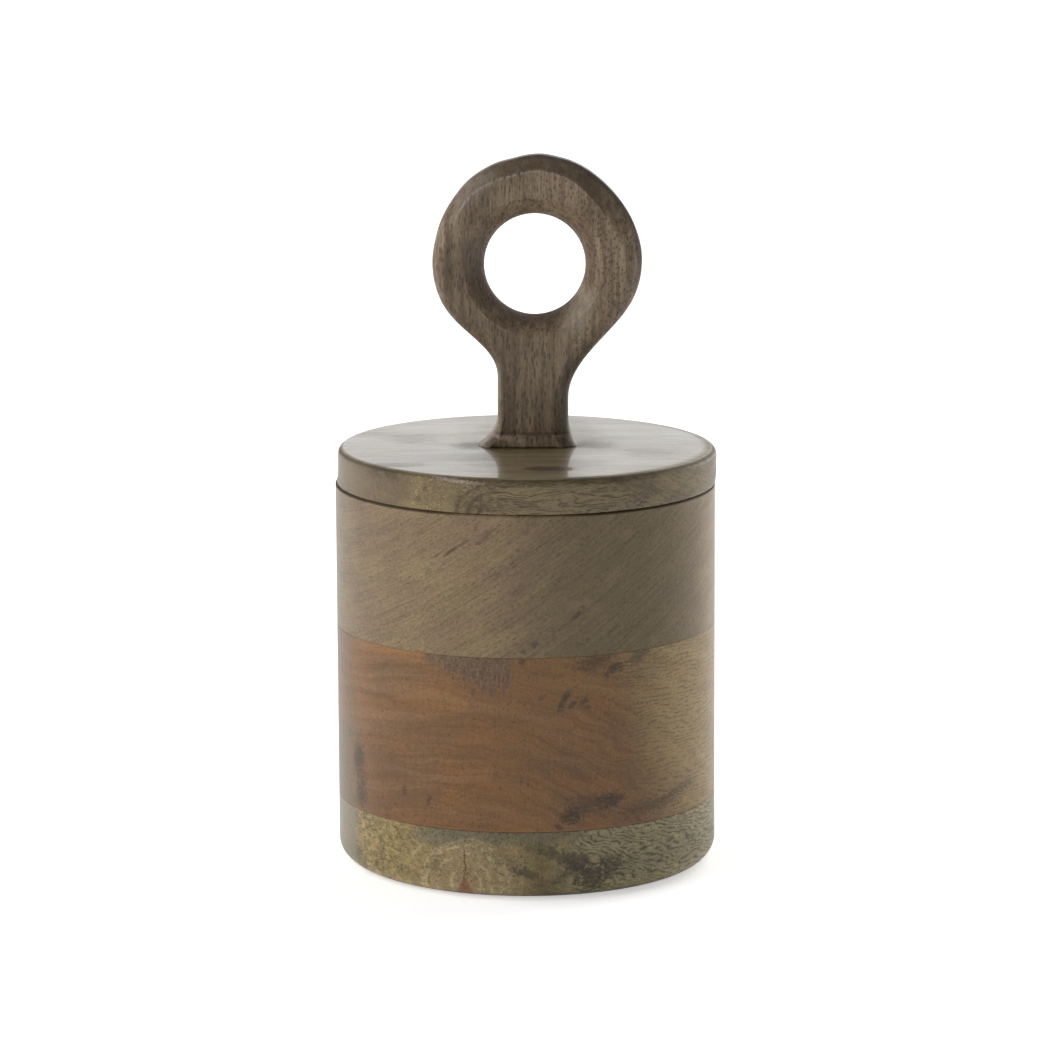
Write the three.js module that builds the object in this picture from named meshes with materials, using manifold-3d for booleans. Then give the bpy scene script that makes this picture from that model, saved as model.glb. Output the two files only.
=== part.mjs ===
// A wooden canister: three glued boards turned to one round pot, and a turned lid that carries a hand-carved
// ring handle. Lengths are in millimetres, +Z is up, the origin is the centre of the underside, and the front
// is towards -Y.
import * as THREE from "three";
import { mergeVertices } from "three/addons/utils/BufferGeometryUtils.js";
import Module from "manifold-3d";

// The pot: three boards, one above the other.
const potRadius = 60.1;
const baseBoardHeight = 22;
const middleBoardHeight = 55;
const upperBoardHeight = 44.6;
const wallThickness = 9.1;
const floorThickness = 12;
const floorFillet = 6; // inside, where the floor meets the wall
const footRoundover = 7; // outside, at the bottom edge
const footRingWidth = 12; // the flat ring that the pot stands on
const footRecess = 0.8; // the turned hollow inside that ring
const rimEase = 0.6; // softened edges of the rim

// The lid: a flange that rests on the rim, and a spigot that drops into the bore.
const lidInset = 0.2; // the lid's edge lies this far inside the pot's side
const flangeThickness = 11.3; // at the lid's edge
const lidCrown = 0.4; // rise of the top from its edge to the handle's seat
const topEdgeWidth = 2.2; // the soft upper edge, an elliptical round
const topEdgeHeight = 2.4;
const flangeEase = 0.5; // softened lower edge of the flange
const seatRadius = 18; // flat middle of the lid, where the handle stands
const spigotDepth = 9;
const spigotClearance = 0.8; // between the spigot and the bore
const spigotEase = 1.6;

// The seal, a soft ring in a groove of the spigot.
const grooveDepth = 2.2;
const sealHeight = 3.2;
const sealEdge = 0.9; // rounding of the two outer edges
const sealClearance = 0.3; // all round the seal, in its groove and at the bore

// The handle, carved from one board. Heights are above its seat on the lid, and its tenon is on the lid's axis.
const handleThickness = 12;
const handleEdgeWidth = 5; // rounded outer edge, measured in the face
const handleEdgeDepth = 4; // and measured through the thickness
const ringCentreX = 3.48;
const ringCentreHeight = 60.2;
const ringRadius = 31.97;
const ringOval = 0.91; // wider than high
const ringLobes = 0.72; // slightly three-sided, as the carver left it
const ringLobeTurn = 17.5; // degrees
const fingerHoleRadius = 15.9;
const fingerHoleShift = 0.49; // the hole lies a little left of the ring's centre
const fingerHoleDrop = 2.61; // and below it
const fingerHoleRound = 6; // width of the rounded inner edge
const stemWidth = 22.36;
const stemX = 2.43; // the stem stands a little off the tenon's axis
const neckAngle = 25; // degrees below the ring's centre at which the neck leaves the ring
const neckRingReach = 11.4; // how far the neck keeps the ring's direction
const neckStartLeft = 21.9; // height at which the stem's left side starts to widen
const neckStartRight = 15.2;
const neckStemReachLeft = 10.3; // how far the neck keeps the stem's direction
const neckStemReachRight = 12.3;
const footFlareLeft = 6; // spread of the stem's foot on the lid
const footFlareRight = 2.9;
const footFlareFront = 1.6;
const footFlareHeight = 8.5;
const footLip = 0.35; // thin edge that the flare ends in

// The handle's joint with the lid.
const tenonRadius = 7;
const mortiseDepth = 7;
const tenonClearance = 0.3;
const screwLength = 30;
const screwShankRadius = 2;
const screwHeadRadius = 4;
const screwHeadRim = 0.4; // straight edge of the countersunk head
const screwPointLength = 5;
const screwRecess = 0.4; // how far the head lies below the surface
const screwClearance = 0.3;

// Fineness of the round surfaces.
const turnedFacets = 64;
const screwFacets = 24;
const arcSteps = 5;

// Sizes and heights that follow from the ones above.
const boreRadius = potRadius - wallThickness;
const lidRadius = potRadius - lidInset;
const fingerHoleX = ringCentreX - fingerHoleShift;
const fingerHoleHeight = ringCentreHeight - fingerHoleDrop;
const lowerSeam = baseBoardHeight;
const upperSeam = lowerSeam + middleBoardHeight;
const rimHeight = upperSeam + upperBoardHeight;
const lidEdgeTop = rimHeight + flangeThickness;
const seatHeight = lidEdgeTop + lidCrown;
const spigotBottom = rimHeight - spigotDepth;
const spigotRadius = boreRadius - spigotClearance;
const screwBottom = spigotBottom + screwRecess;

const wasm = await Module();
wasm.setup();

// A closed geometry as a manifold-3d solid.
function solidOf(geometry) {
  const bare = geometry.index ? geometry.toNonIndexed() : geometry.clone();
  bare.deleteAttribute("normal");
  bare.deleteAttribute("uv");
  const merged = mergeVertices(bare, 1e-4);
  return new wasm.Manifold(
    new wasm.Mesh({
      numProp: 3,
      vertProperties: merged.attributes.position.array,
      triVerts: new Uint32Array(merged.index.array),
    }),
  );
}

// A manifold-3d solid as a geometry with flat-shaded faces.
function geometryOf(solid) {
  const mesh = solid.getMesh();
  const geometry = new THREE.BufferGeometry();
  geometry.setAttribute("position", new THREE.BufferAttribute(mesh.vertProperties, 3));
  geometry.setIndex(new THREE.BufferAttribute(mesh.triVerts, 1));
  const flat = geometry.toNonIndexed();
  flat.computeVertexNormals();
  return flat;
}

// Points [radius, height] on an elliptical arc about (cx, cz), between two angles in degrees.
function arc(cx, cz, rx, rz, from, to, steps = arcSteps) {
  return Array.from({ length: steps + 1 }, (_, i) => {
    const angle = THREE.MathUtils.degToRad(from + ((to - from) * i) / steps);
    return [cx + rx * Math.cos(angle), cz + rz * Math.sin(angle)];
  });
}

// A body turned about Z. The profile runs anticlockwise as [radius, height], and closes on itself unless it
// starts and ends on the axis.
function turned(profile, facets = turnedFacets) {
  const onAxis = profile[0][0] === 0;
  const points = (onAxis ? profile : [...profile, profile[0]]).map(([r, z]) => new THREE.Vector2(r, z));
  return new THREE.LatheGeometry(points, facets).rotateX(Math.PI / 2);
}

function material(color, roughness, metalness = 0) {
  return new THREE.MeshStandardMaterial({ color, roughness, metalness });
}

function piece(name, geometry, finish) {
  const mesh = new THREE.Mesh(geometry, finish);
  mesh.name = name;
  return mesh;
}

// The lowest board: foot ring with a shallow hollow, rounded bottom edge, and a dished floor inside.
function baseBoard() {
  const ringOuter = potRadius - footRoundover;
  const ringInner = ringOuter - footRingWidth;
  const fillet = Math.min(floorFillet, 0.9 * (lowerSeam - floorThickness));
  return turned([
    [0, footRecess],
    [ringInner - 2 * footRecess, footRecess],
    [ringInner, 0],
    ...arc(ringOuter, footRoundover, footRoundover, footRoundover, -90, 0, 7),
    [potRadius, lowerSeam],
    [boreRadius, lowerSeam],
    ...arc(boreRadius - fillet, floorThickness + fillet, fillet, fillet, 0, -90),
    [0, floorThickness],
  ]);
}

// The board between the two seams, a plain ring of wall.
function middleBoard() {
  return turned([
    [boreRadius, lowerSeam],
    [potRadius, lowerSeam],
    [potRadius, upperSeam],
    [boreRadius, upperSeam],
  ]);
}

// The board that ends in the rim, whose two edges are softened.
function upperBoard() {
  const shoulder = rimHeight - rimEase;
  return turned([
    [boreRadius, upperSeam],
    [potRadius, upperSeam],
    ...arc(potRadius - rimEase, shoulder, rimEase, rimEase, 0, 90, 2),
    ...arc(boreRadius + rimEase, shoulder, rimEase, rimEase, 90, 180, 2),
  ]);
}

// The lid from one board: softened flange, slightly crowned top round the handle's flat seat, grooved spigot,
// a mortise from above for the handle's tenon, and a countersunk screw hole from below.
function lidBoard() {
  const topFlatRadius = lidRadius - topEdgeWidth;
  const crown = Array.from({ length: 4 }, (_, i) => {
    const share = 1 - (i + 1) / 4;
    return [seatRadius + (topFlatRadius - seatRadius) * share, seatHeight - lidCrown * share * share];
  });
  const grooveMiddle = rimHeight - spigotDepth / 2;
  const grooveHalf = sealHeight / 2 + sealClearance;
  const holeRadius = screwShankRadius + screwClearance;
  const sinkRadius = screwHeadRadius + screwClearance;
  const sinkRim = screwBottom + screwHeadRim;
  return turned([
    [sinkRadius, spigotBottom],
    ...arc(spigotRadius - spigotEase, spigotBottom + spigotEase, spigotEase, spigotEase, -90, 0, 3),
    [spigotRadius, grooveMiddle - grooveHalf],
    [spigotRadius - grooveDepth, grooveMiddle - grooveHalf],
    [spigotRadius - grooveDepth, grooveMiddle + grooveHalf],
    [spigotRadius, grooveMiddle + grooveHalf],
    [spigotRadius, rimHeight],
    ...arc(lidRadius - flangeEase, rimHeight + flangeEase, flangeEase, flangeEase, -90, 0, 2),
    ...arc(topFlatRadius, lidEdgeTop - topEdgeHeight, topEdgeWidth, topEdgeHeight, 0, 90),
    ...crown,
    [tenonRadius + tenonClearance, seatHeight],
    [tenonRadius + tenonClearance, seatHeight - mortiseDepth],
    [holeRadius, seatHeight - mortiseDepth],
    [holeRadius, sinkRim + screwHeadRadius - screwShankRadius],
    [sinkRadius, sinkRim],
  ]);
}

// The seal: a flat ring with rounded outer edges that wipes the bore.
function sealRing() {
  const middle = rimHeight - spigotDepth / 2;
  const inner = spigotRadius - grooveDepth + sealClearance;
  const edge = Math.min(sealEdge, 0.45 * sealHeight);
  const side = boreRadius - sealClearance - edge;
  return turned([
    [inner, middle - sealHeight / 2],
    ...arc(side, middle - sealHeight / 2 + edge, edge, edge, -90, 0, 3),
    ...arc(side, middle + sealHeight / 2 - edge, edge, edge, 0, 90, 3),
    [inner, middle + sealHeight / 2],
  ]);
}

// Point of the ring's outline at an angle in radians: a circle with the carver's oval and three-sided departures.
function ringOutline(angle) {
  const radius =
    ringRadius +
    ringOval * Math.cos(2 * angle) -
    ringLobes * Math.sin(3 * angle - THREE.MathUtils.degToRad(ringLobeTurn));
  return new THREE.Vector2(
    ringCentreX + radius * Math.cos(angle),
    ringCentreHeight + radius * Math.sin(angle),
  );
}

// The handle's front view, from below the seat: up the stem's right side, round the ring and down the left side.
function handleOutline() {
  const stretch = 2 * handleEdgeWidth; // runs on below the seat, where it is cut off
  const below = THREE.MathUtils.degToRad(neckAngle);
  const [start, end] = [-below, Math.PI + below];
  const right = stemX + stemWidth / 2;
  const left = stemX - stemWidth / 2;
  const step = 0.01;
  const leave = ringOutline(start);
  const arrive = ringOutline(end);
  const leaveWay = leave.clone().sub(ringOutline(start + step)).setLength(neckRingReach);
  const arriveWay = arrive.clone().sub(ringOutline(end - step)).setLength(neckRingReach);
  const rightNeck = new THREE.CubicBezierCurve(
    new THREE.Vector2(right, neckStartRight),
    new THREE.Vector2(right, neckStartRight + neckStemReachRight),
    leave.clone().add(leaveWay),
    leave,
  );
  const leftNeck = new THREE.CubicBezierCurve(
    arrive,
    arrive.clone().add(arriveWay),
    new THREE.Vector2(left, neckStartLeft + neckStemReachLeft),
    new THREE.Vector2(left, neckStartLeft),
  );
  const ringSteps = 44;
  const ring = Array.from({ length: ringSteps - 1 }, (_, i) =>
    ringOutline(start + ((end - start) * (i + 1)) / ringSteps),
  );
  return new THREE.Shape([
    new THREE.Vector2(right, -stretch),
    ...rightNeck.getPoints(9),
    ...ring,
    ...leftNeck.getPoints(9),
    new THREE.Vector2(left, -stretch),
  ]);
}

// The flared foot: a loft of rounded rectangles that spread quickly just above the lid.
function handleFoot() {
  const levels = 8;
  const around = 40;
  const [stemPower, footPower] = [4, 2.4]; // superellipses: a rounded rectangle above, nearly an oval below
  const steepness = 2.5;
  const sunk = 0.35; // the top of the flare starts inside the stem's surface
  const positions = [];
  const rings = [[0, 1]];
  for (let i = 0; i <= levels; i += 1) {
    const rise = (i / levels) ** 2;
    rings.push([footLip + (footFlareHeight - footLip) * rise, (1 - rise) ** steepness]);
  }
  for (const [height, spread] of rings) {
    const power = stemPower + (footPower - stemPower) * spread;
    for (let k = 0; k < around; k += 1) {
      const angle = (2 * Math.PI * k) / around;
      const [c, s] = [Math.cos(angle), Math.sin(angle)];
      const reach = (Math.abs(c) ** power + Math.abs(s) ** power) ** (-1 / power);
      const side = c < 0 ? footFlareLeft : footFlareRight;
      const halfWidth = stemWidth / 2 - sunk + (side + sunk) * spread;
      const halfDepth = handleThickness / 2 - sunk + (footFlareFront + sunk) * spread;
      positions.push(stemX + halfWidth * reach * c, halfDepth * reach * s, height);
    }
  }
  const index = [];
  for (let i = 0; i < rings.length - 1; i += 1) {
    for (let k = 0; k < around; k += 1) {
      const [a, b] = [i * around + k, i * around + ((k + 1) % around)];
      index.push(a, b, b + around, a, b + around, a + around);
    }
  }
  const top = (rings.length - 1) * around;
  for (let k = 1; k < around - 1; k += 1) {
    index.push(0, k + 1, k, top, top + k, top + k + 1);
  }
  const geometry = new THREE.BufferGeometry();
  geometry.setAttribute("position", new THREE.Float32BufferAttribute(positions, 3));
  geometry.setIndex(index);
  return geometry;
}

// The cutter of the finger hole: an hourglass turned about Y, narrowest in the middle of the thickness.
function fingerHole() {
  const reach = 78; // degrees of the rounded edge that the face cuts off
  const half = handleThickness / 2;
  const depth = half / Math.sin(THREE.MathUtils.degToRad(reach));
  const throatCentre = fingerHoleRadius + fingerHoleRound;
  const flare = arc(throatCentre, 0, fingerHoleRound, depth, 180 + reach, 180 - reach, 12);
  const [mouth] = flare[0];
  const beyond = half + 2;
  return new THREE.LatheGeometry(
    [[0, -beyond], [mouth + 2, -beyond], ...flare, [mouth + 2, beyond], [0, beyond]].map(
      ([r, y]) => new THREE.Vector2(r, y),
    ),
    48,
  ).translate(fingerHoleX, 0, fingerHoleHeight);
}

// The handle: outline with rounded edges, cut off level at the seat, joined to the flared foot and the tenon,
// then pierced by the finger hole and drilled for the screw.
function ringHandle() {
  const body = new THREE.ExtrudeGeometry(handleOutline(), {
    depth: handleThickness - 2 * handleEdgeDepth,
    bevelThickness: handleEdgeDepth,
    bevelSize: handleEdgeWidth,
    bevelOffset: -handleEdgeWidth,
    bevelSegments: 4,
  })
    .rotateX(Math.PI / 2)
    .translate(0, handleThickness / 2 - handleEdgeDepth, 0);
  const reach = 4 * ringRadius;
  const aboveSeat = new THREE.BoxGeometry(reach, reach, reach).translate(0, 0, reach / 2);
  const tenonLength = mortiseDepth - tenonClearance;
  const tenonRoot = 1; // runs into the foot
  const tenon = turned(
    [
      [0, -tenonLength],
      [tenonRadius - 0.6, -tenonLength],
      [tenonRadius, 0.6 - tenonLength],
      [tenonRadius, tenonRoot],
      [0, tenonRoot],
    ],
    32,
  );
  const pilotTop = screwBottom + screwLength + screwClearance - seatHeight;
  const pilot = turned(
    [
      [0, -2 * tenonLength],
      [screwShankRadius + screwClearance, -2 * tenonLength],
      [screwShankRadius + screwClearance, pilotTop],
      [0, pilotTop],
    ],
    screwFacets,
  );
  return solidOf(body)
    .intersect(solidOf(aboveSeat))
    .add(solidOf(handleFoot()))
    .add(solidOf(tenon))
    .subtract(solidOf(fingerHole()))
    .subtract(solidOf(pilot));
}

// The countersunk wood screw, point up.
function handleScrew() {
  const coneTop = screwBottom + screwHeadRim + screwHeadRadius - screwShankRadius;
  const point = screwBottom + screwLength;
  return turned(
    [
      [0, screwBottom],
      [screwHeadRadius, screwBottom],
      [screwHeadRadius, screwBottom + screwHeadRim],
      [screwShankRadius, coneTop],
      [screwShankRadius, point - screwPointLength],
      [0, point],
    ],
    screwFacets,
  );
}

const canister = new THREE.Group();
const lid = new THREE.Group();
const handle = piece("ring_handle", geometryOf(ringHandle()), material(0x6e5f4c, 0.45));
handle.position.z = seatHeight;
lid.add(
  piece("lid_board", lidBoard(), material(0x7a6c52, 0.3)),
  piece("seal_ring", sealRing(), material(0xd8d6cf, 0.6)),
  piece("handle_screw", handleScrew(), material(0xb4b4b0, 0.35, 1)),
  handle,
);
canister.add(
  piece("base_board", baseBoard(), material(0x7d6f4c, 0.4)),
  piece("middle_board", middleBoard(), material(0x8a5a36, 0.4)),
  piece("upper_board", upperBoard(), material(0x746751, 0.4)),
  lid,
);

export default canister;
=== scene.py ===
"""A turned wooden canister with a ring handle on its lid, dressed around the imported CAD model.

Sizes are in millimetres and metres are made where a mesh is built. +Z is up and the front is towards -Y.
"""

import math

import bmesh
import bpy
import numpy as np
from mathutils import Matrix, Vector


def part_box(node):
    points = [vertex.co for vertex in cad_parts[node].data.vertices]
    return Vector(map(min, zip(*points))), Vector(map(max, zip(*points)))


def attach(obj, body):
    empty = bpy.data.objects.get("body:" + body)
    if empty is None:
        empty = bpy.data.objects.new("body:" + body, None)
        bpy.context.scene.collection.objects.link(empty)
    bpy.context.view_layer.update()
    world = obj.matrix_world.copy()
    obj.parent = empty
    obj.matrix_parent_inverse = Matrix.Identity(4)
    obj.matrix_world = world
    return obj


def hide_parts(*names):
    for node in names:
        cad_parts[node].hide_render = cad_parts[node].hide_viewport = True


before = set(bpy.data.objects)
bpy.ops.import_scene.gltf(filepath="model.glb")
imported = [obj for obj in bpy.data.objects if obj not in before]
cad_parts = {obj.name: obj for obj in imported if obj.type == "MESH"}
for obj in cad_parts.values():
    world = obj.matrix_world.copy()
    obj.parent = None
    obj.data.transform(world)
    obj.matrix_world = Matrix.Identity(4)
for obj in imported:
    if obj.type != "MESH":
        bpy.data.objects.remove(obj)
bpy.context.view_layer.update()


# Camera: on a level stand 1.6 m in front of the canister, looking a little down on it through a long lens.
# Its place and lens are worked out from the photograph, whose side is taken as 1050 pixels.
picture_side = 1050
camera_distance = 1.6
camera_dip = math.radians(10.93)
aim_height = 0.1072
focal_pixels = 5039.5
middle_shift_pixels = 0.28
sensor_width = 36

camera = bpy.data.objects.new("camera", bpy.data.cameras.new("camera"))
bpy.context.scene.collection.objects.link(camera)
camera.location = (
    0,
    -camera_distance * math.cos(camera_dip),
    aim_height + camera_distance * math.sin(camera_dip),
)
camera.rotation_euler = (math.pi / 2 - camera_dip, 0, 0)
camera.data.sensor_width = sensor_width
camera.data.lens = focal_pixels * sensor_width / picture_side
camera.data.shift_x = -middle_shift_pixels / picture_side
camera.data.clip_end = 50
bpy.context.scene.camera = camera
bpy.context.scene.view_settings.view_transform = "Standard"


# Studio: a white table that runs on as the background, a broad soft lamp at the left and light all round. The
# table and the room show white to the camera and in the polish, and the table keeps the soft shadow.
class Shade:
    """One output socket of a material's nodes. Arithmetic on it adds Math nodes."""

    def __init__(self, socket):
        self.socket = socket

    def node(self, kind, settings, sockets, output=0):
        """Adds a node: its settings first, then the values or links of its sockets."""
        made = self.socket.id_data.nodes.new(kind)
        for name, value in settings.items():
            setattr(made, name, value)
        for name, value in sockets.items():
            if isinstance(value, Shade):
                made.id_data.links.new(value.socket, made.inputs[name])
            else:
                made.inputs[name].default_value = value
        return Shade(made.outputs[output]) if made.outputs else None

    def math(self, operation, second=0.0, third=0.0):
        """A Math node with this socket as its first value."""
        return self.node("ShaderNodeMath", {"operation": operation}, {0: self, 1: second, 2: third})

    def __add__(self, other):
        return self.math("ADD", other)

    __radd__ = __add__

    def __sub__(self, other):
        return self.math("SUBTRACT", other)

    def __rsub__(self, other):
        return self.math("MULTIPLY_ADD", -1.0, other)

    def __mul__(self, other):
        return self.math("MULTIPLY", other)

    __rmul__ = __mul__

    def __truediv__(self, other):
        return self.math("DIVIDE", other)

    def __abs__(self):
        return self.math("ABSOLUTE")

    def clipped(self):
        """This value, held between 0 and 1."""
        return self.node("ShaderNodeClamp", {}, {"Value": self})


def shader_start(owner):
    """Empties a material's or world's node tree and gives its Object and Generated coordinates."""
    owner.use_nodes = True
    owner.node_tree.nodes.clear()
    place = owner.node_tree.nodes.new("ShaderNodeTexCoord")
    return Shade(place.outputs["Object"]), Shade(place.outputs["Generated"])


def shader_end(start, kind, surface):
    """Links a shader to the tree's output node."""
    start.node(kind, {}, {"Surface": surface})


table_white = (0.82, 0.82, 0.82, 1)
table_glow = 0.5
table_glow_in_polish = 0.3
table_reach = 10.0
room_light = 0.95
room_behind_camera = 0.11
room_tilt = 0.8
room_dark_end = -0.6
room_light_end = 0.4
panel_glow = 1.1
panel_start = math.radians(7)
panel_end = math.radians(62)
panel_fade = math.radians(9)

table_material = bpy.data.materials.new("table_white")
start, _ = shader_start(table_material)
path_to_camera = start.node("ShaderNodeLightPath", {}, {}, "Is Camera Ray")
path_to_polish = start.node("ShaderNodeLightPath", {}, {}, "Is Glossy Ray")
table_diffuse = start.node("ShaderNodeBsdfDiffuse", {}, {"Color": table_white})
table_seen = (path_to_camera + path_to_polish * table_glow_in_polish).clipped()
table_emission = start.node("ShaderNodeEmission", {}, {"Strength": table_seen * table_glow})
table_shader = start.node("ShaderNodeAddShader", {}, {0: table_diffuse, 1: table_emission})
shader_end(start, "ShaderNodeOutputMaterial", table_shader)

table_mesh = bpy.data.meshes.new("table")
table_corners = [(-table_reach, -table_reach, 0), (table_reach, -table_reach, 0)]
table_corners += [(table_reach, table_reach, 0), (-table_reach, table_reach, 0)]
table_mesh.from_pydata(table_corners, [], [(0, 1, 2, 3)])
table_mesh.materials.append(table_material)
table = bpy.data.objects.new("table", table_mesh)
bpy.context.scene.collection.objects.link(table)


def soft_lamp(name, side, height, spread, strength):
    """A broad lamp far away. In degrees, side is how far round to the right of the camera it stands, height
    how far above level, and spread its width. The polish doesn't mirror it, as that would go white."""
    lamp = bpy.data.objects.new(name, bpy.data.lights.new(name, "SUN"))
    bpy.context.scene.collection.objects.link(lamp)
    lamp.data.energy = strength
    lamp.data.angle = math.radians(spread)
    lamp.rotation_euler = (math.radians(90 - height), 0, math.radians(side))
    lamp.visible_glossy = False


soft_lamp("main_lamp", side=-80, height=28, spread=70, strength=2.7)
soft_lamp("rim_lamp", side=145, height=12, spread=60, strength=2.8)

room = bpy.data.worlds.new("room")
bpy.context.scene.world = room
_, direction = shader_start(room)
seen = direction.node("ShaderNodeLightPath", {}, {}, "Is Camera Ray")
across, depth, height = [direction.node("ShaderNodeSeparateXYZ", {}, {0: direction}, name) for name in "XYZ"]
sockets = {"Value": depth - height * room_tilt, "From Min": room_dark_end, "From Max": room_light_end}
sockets.update({"To Min": room_behind_camera, "To Max": room_light})
backdrop = direction.node("ShaderNodeMapRange", {}, sockets)
round_right = across.math("ARCTAN2", depth)
panel_near = ((round_right - panel_start) / panel_fade).clipped()
panel_far = ((panel_end - round_right) / panel_fade).clipped()
room_strength = (backdrop + seen).clipped() + panel_near * panel_far * (1 - seen) * panel_glow
room_glow = direction.node("ShaderNodeBackground", {}, {"Color": (1, 1, 1, 1), "Strength": room_strength})
shader_end(direction, "ShaderNodeOutputWorld", room_glow)


# Base board: the lowest of the three glued boards, with the pot's floor and foot ring. Its fibres run from
# front to back, so the front shows end grain round the pith, with a check above it. The glued boards are
# turned as one and oiled.
metre = 0.001
pot_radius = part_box("middle_board")[1].x / metre
lower_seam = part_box("middle_board")[0].z / metre
upper_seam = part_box("middle_board")[1].z / metre
rim_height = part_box("upper_board")[1].z / metre
wall_thickness = 9.1
bore_radius = pot_radius - wall_thickness
floor_height = 12
floor_fillet = 6
foot_round_width = 7.5
foot_round_height = 6.7
foot_ring_width = 12
foot_hollow = 0.8
seam_ease = 0.12
pot_lean = 0.6
seam_slope = 0.0053
seam_fade_low = 12
seam_fade_high = 31.6
stain_depth = 14
columns = 320


def arc(centre, reach, first, last, steps=8):
    """Points [radius, height] of an arc between two angles in degrees: centre + reach x [cosine, sine]. The
    reach is one radius, or one for each axis."""
    angle = np.radians(np.linspace(first, last, steps + 1))
    return centre + np.stack([np.cos(angle), np.sin(angle)], 1) * reach


def filled(*parts, row_gap=3.0, hold=0.15):
    """One profile from arcs and corners. A long straight stretch gets a row close to each end, so that it
    shades straight, and rows about row_gap apart."""
    points = np.vstack([np.atleast_2d(part) for part in parts])
    rows = []
    for start_point, end_point in zip(points[:-1], points[1:]):
        length = math.dist(start_point, end_point)
        shares = [0.0]
        if length > 4 * hold:
            row_places = np.linspace(hold, length - hold, 2 + int(length / row_gap))
            shares = np.concatenate([[0], row_places / length])
        rows.append(start_point + np.outer(shares, end_point - start_point))
    return np.vstack([*rows, points[-1:]])


def skin(name, grid, closed=False, marks=None):
    """A mesh over a grid of points in millimetres, rows by columns by 3. Columns close on themselves, and so
    do the rows if asked. Faces look to the side that column direction x row direction points to. Marks are
    named values of the points that a material reads."""
    row_count, column_count = grid.shape[:2]
    number = np.arange(row_count * column_count).reshape(row_count, column_count)
    if closed:
        number = np.vstack([number, number[:1]])
    across = np.roll(number, -1, axis=1)
    faces = np.stack([number[:-1], across[:-1], across[1:], number[1:]], -1).reshape(-1, 4)
    mesh = bpy.data.meshes.new(name)
    mesh.from_pydata(grid.reshape(-1, 3) * metre, [], faces)
    mesh.polygons.foreach_set("use_smooth", np.ones(len(faces), bool))
    for mark, values in (marks or {}).items():
        attribute = mesh.attributes.new(mark, "FLOAT", "POINT")
        attribute.data.foreach_set("value", np.ravel(values).astype(np.float32))
    return mesh


def turned(profile, shape=lambda points: points, count=columns):
    """Grid of a profile [radius, height] turned about Z, with a change of shape put on its points."""
    angle = np.linspace(0, 2 * np.pi, count, endpoint=False)
    radius, height = profile[:, :1], profile[:, 1:]
    level = height * np.ones_like(angle)
    return shape(np.stack([radius * np.cos(angle), radius * np.sin(angle), level], -1))


def piece(name, meshes, material, body):
    """One object from closed meshes, with poles merged. It rides on its body in place of the CAD node."""
    built = bmesh.new()
    for mesh in meshes:
        built.from_mesh(mesh)
    bmesh.ops.remove_doubles(built, verts=built.verts, dist=1e-7)
    whole = bpy.data.meshes.new(name + "_surface")
    built.to_mesh(whole)
    built.free()
    whole.materials.append(material)
    made = bpy.data.objects.new("real_" + name, whole)
    bpy.context.scene.collection.objects.link(made)
    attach(made, body)
    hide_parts(name)


def settled(points):
    """The pot as it stands. It leans to the left: x gains pot_lean at the foot and nothing at the rim. Its
    glued seams rise to the right: z gains seam_slope times x, which fades out at the foot and the rim."""
    x, y, z = np.moveaxis(points, -1, 0)
    seam_share = np.clip(z / seam_fade_low, 0, 1) * np.clip((rim_height - z) / seam_fade_high, 0, 1)
    lean = pot_lean * (1 - z / rim_height)
    return np.stack([x + lean, y, z + seam_slope * x * seam_share], -1)


def tone(red, green, blue):
    """A colour written as 8-bit screen values, as the linear colour that a shader takes."""
    screen = np.array([red, green, blue]) / 255
    return (*np.where(screen < 0.04045, screen / 12.92, ((screen + 0.055) / 1.055) ** 2.4), 1.0)


def wood_start(name):
    """A new material and its Object coordinates in millimetres."""
    material = bpy.data.materials.new(name)
    place, _ = shader_start(material)
    place = place.node("ShaderNodeVectorMath", {"operation": "SCALE"}, {0: place, "Scale": 1 / metre})
    return material, place


def along(place, size, turn=(0, 0, 0), centre=(0, 0, 0)):
    """Coordinates seen from a centre, along turned axes, in units of a size for each of them."""
    sockets = {"Vector": place, "Location": centre, "Rotation": turn, "Scale": size}
    return place.node("ShaderNodeMapping", {"vector_type": "TEXTURE"}, sockets)


def axes_of(place):
    """The x, y and z of coordinates, as numbers."""
    return [place.node("ShaderNodeSeparateXYZ", {}, {0: place}, name) for name in "XYZ"]


def joined(x, y, z):
    """Coordinates from three numbers."""
    return x.node("ShaderNodeCombineXYZ", {}, {0: x, 1: y, 2: z})


def noise(place, size, turn=(0, 0, 0), detail=3, roughness=0.5, distortion=0.0):
    """Cloudy noise from 0 to 1 about 0.5, whose clouds have a size in millimetres along turned axes."""
    sockets = {"Vector": along(place, size, turn), "Scale": 1.0, "Detail": detail}
    sockets.update({"Roughness": roughness, "Distortion": distortion})
    return place.node("ShaderNodeTexNoise", {}, sockets, 0)


def from_centre(across, up):
    """Distance from a point, out of the steps to it along two axes: the root of the sum of their squares."""
    return (across * across + up * up).math("SQRT")


def step(value, low, high):
    """0 below low and 1 above high, or the other way round, with a smooth change between them."""
    backwards = low > high
    first, last = sorted((low, high))
    sockets = {"Value": value, "From Min": first, "From Max": last}
    sockets.update({"To Min": float(backwards), "To Max": float(not backwards)})
    return value.node("ShaderNodeMapRange", {"interpolation_type": "SMOOTHSTEP"}, sockets)


def blend(share, first, second):
    """Colour first where share is 0 and second where it is 1."""
    return share.node("ShaderNodeMix", {"data_type": "RGBA"}, {0: share, 6: first, 7: second}, 2)


def dyed(colour, share, screen_tone):
    """A colour with a tone laid over it by a share."""
    return blend(share, colour, tone(*screen_tone))


def shaded(colour, amount):
    """A colour made darker or lighter, times an amount about 1."""
    return amount.node("ShaderNodeVectorMath", {"operation": "SCALE"}, {0: colour, "Scale": amount})


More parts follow.
